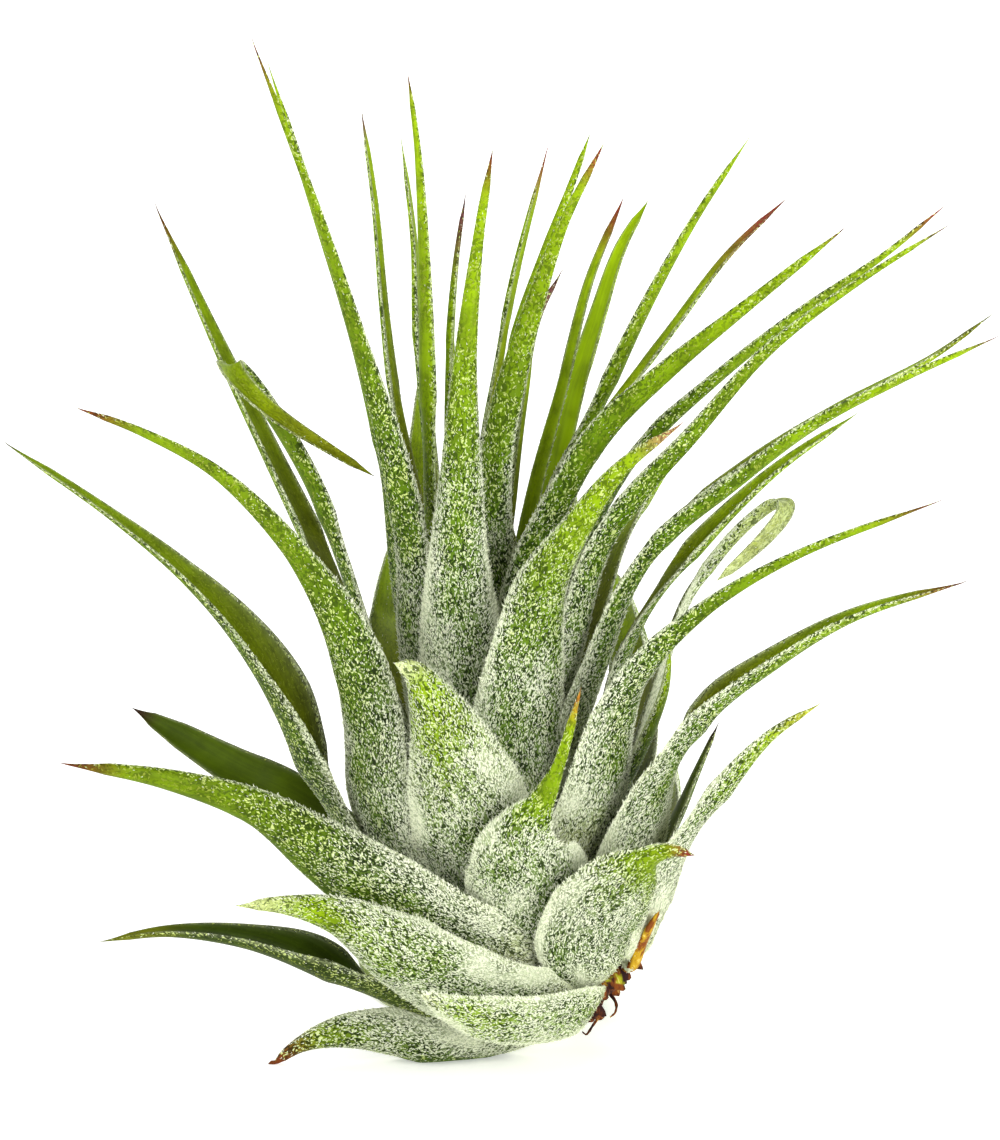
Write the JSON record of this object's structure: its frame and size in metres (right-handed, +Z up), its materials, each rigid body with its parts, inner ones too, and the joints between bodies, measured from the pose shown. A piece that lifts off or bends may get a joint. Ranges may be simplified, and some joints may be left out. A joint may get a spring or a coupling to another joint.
{
  "type": "air plant",
  "caption": "Rootless tufted air plant: a short bent stem with a dry root stub in a rosette of silvery, channelled, tapering leaves, some long and arching and some short, hooked or curled.",
  "frame": {"origin": "On the floor, under the middle of the plant's bounding box.", "axes": "+Z is up. -Y is the side in the picture, with +X to its right. The plant leans 12 degrees back, towards +Y."},
  "size_m": [0.0998, 0.0684, 0.1033],
  "materials": {
    "leaf": "matt green leaf under silver scales, near white at the base, brown at the tip",
    "dry_leaf": "dry, papery, orange-brown",
    "stem": "dry, torn, brown"
  },
  "bodies": {
    "root": {"stem": "stem", "leaf_foot_left": "leaf", "leaf_front_low_white": "leaf", "leaf_left_low": "leaf", "leaf_left_pale": "leaf", "leaf_right_low": "leaf", "leaf_right_spur": "leaf", "leaf_left_brown_tip": "leaf", "leaf_left_dark": "leaf", "leaf_right_thin_sliver": "leaf", "leaf_front_spur": "leaf", "leaf_left_long": "leaf", "leaf_right_channel": "leaf", "leaf_front_hooked": "leaf", "leaf_left_front": "leaf", "leaf_right_front": "leaf", "leaf_mid_pale_sliver": "leaf", "leaf_right_curled": "leaf", "leaf_left_curled": "leaf", "leaf_centre_right": "leaf", "leaf_right_long": "leaf", "leaf_right_mid": "leaf", "leaf_left_back_tall": "leaf", "leaf_right_upper": "leaf", "leaf_left_tallest": "leaf", "leaf_centre_front": "leaf", "leaf_right_long_upper": "leaf", "leaf_back_wide_green": "leaf", "leaf_back_flat_green": "leaf", "leaf_upper_right": "leaf", "leaf_left_tall_pair": "leaf", "leaf_right_upper_pair": "leaf", "leaf_mid_right": "leaf", "leaf_centre_pair_front": "leaf", "leaf_back_pale": "leaf", "leaf_upper_right_thin": "leaf", "leaf_left_thin": "leaf", "leaf_centre_pair_back": "leaf", "leaf_mid_thin": "leaf", "leaf_brown_tip_thin": "leaf", "leaf_centre_short_dark": "leaf", "leaf_centre_thin": "leaf", "leaf_back_foot_right": "leaf", "leaf_back_foot_left": "leaf", "leaf_back_low_right": "leaf", "leaf_back_low": "leaf", "leaf_back_low_left": "leaf", "leaf_back_mid_right": "leaf", "leaf_back_mid": "leaf", "leaf_back_mid_left": "leaf", "leaf_back_high_right": "leaf", "leaf_back_high_left": "leaf", "leaf_back_inner_right": "leaf", "leaf_back_inner": "leaf", "leaf_back_inner_left": "leaf", "leaf_dry_strip": "dry_leaf"}
  },
  "joints": []
}
